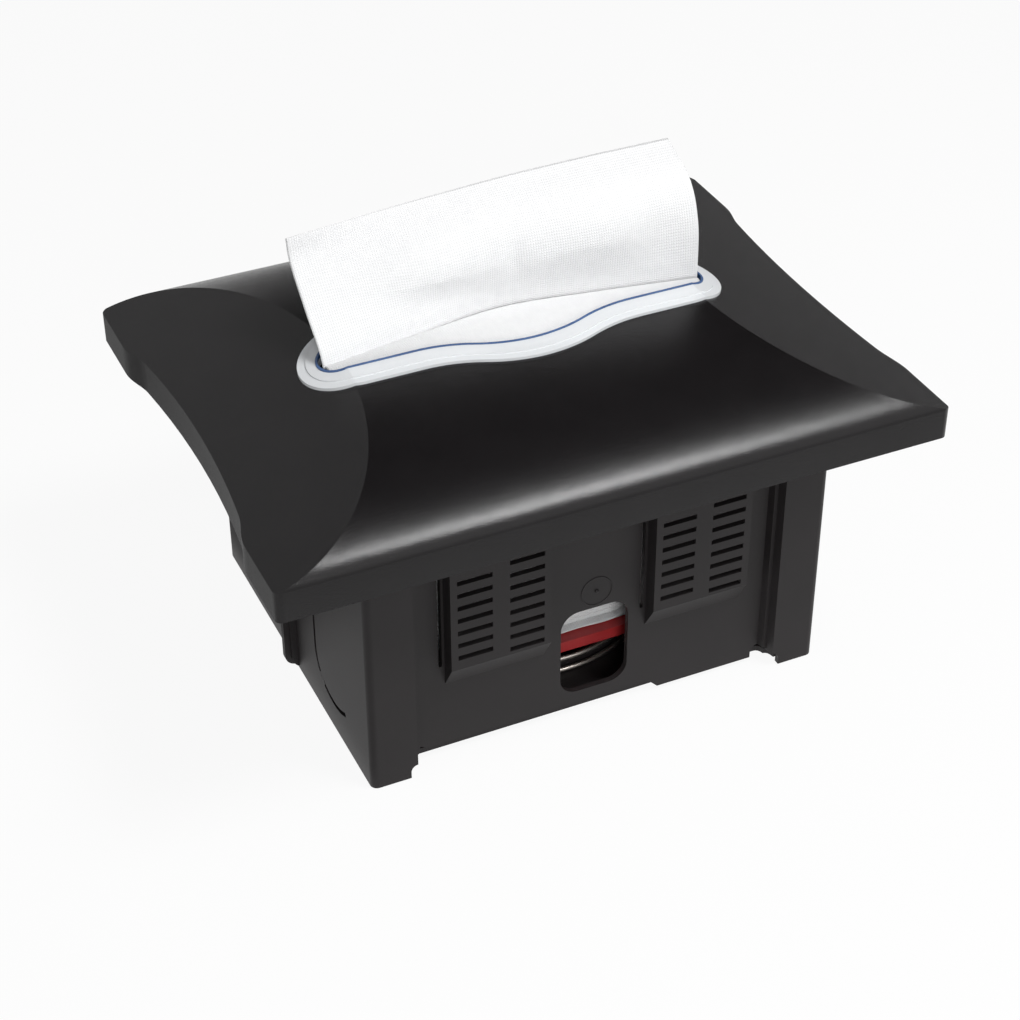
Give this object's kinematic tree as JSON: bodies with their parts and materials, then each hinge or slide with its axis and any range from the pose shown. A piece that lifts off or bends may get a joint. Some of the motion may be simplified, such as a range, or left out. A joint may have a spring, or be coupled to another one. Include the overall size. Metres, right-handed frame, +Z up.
{
  "type": "in-counter napkin dispenser",
  "caption": "Drop-in counter napkin dispenser: crowned black lid with a clear-framed mouth, vented tub below, sprung red follower and a napkin stack",
  "frame": {"origin": "middle of the feet, on the surface that they stand on, 112 mm below the counter's top when fitted", "axes": "+X along the lid's long side, +Y to the hinge at the back, +Z up; the window faces -Y"},
  "size_m": [0.28, 0.212, 0.194],
  "materials": {
    "tub_plastic": "fine grained, dark grey-black",
    "lid_plastic": "satin, fine texture, black",
    "inner_plastic": "satin dark grey",
    "clear_plastic": "clear gloss plastic",
    "blue_plastic": "gloss blue",
    "red_plastic": "satin red",
    "spring_steel": "drawn steel wire",
    "screw_steel": "zinc plated",
    "napkin": "embossed soft white paper"
  },
  "bodies": {
    "tub": {"housing": "tub_plastic", "base_plate": "inner_plastic", "base_screws": "screw_steel", "guide_screws": "screw_steel", "collar": "tub_plastic", "collar_screws": "screw_steel", "funnel": "inner_plastic", "left_guide": "inner_plastic", "right_guide": "inner_plastic", "follower_spring": "spring_steel", "napkin_stack": "napkin", "left_hinge_pin": "screw_steel", "right_hinge_pin": "screw_steel"},
    "lid": {"lid": "lid_plastic", "mouth_frame": "clear_plastic", "mouth_trim": "blue_plastic", "throat_plate": "inner_plastic", "throat_screws": "screw_steel", "pulled_napkin": "napkin"},
    "follower": {"follower": "red_plastic"}
  },
  "joints": [
    {"name": "lid_hinge", "type": "hinge", "parent": "tub", "child": "lid", "pos_m": [0, 0.103, 0.1155], "axis": [-1, 0, 0], "range_deg": [0, 95]},
    {"name": "follower_slide", "type": "slide", "parent": "tub", "child": "follower", "axis": [0, 0, 1], "range_m": [0, 0.1], "deforming": ["follower_spring", "napkin_stack"]}
  ]
}
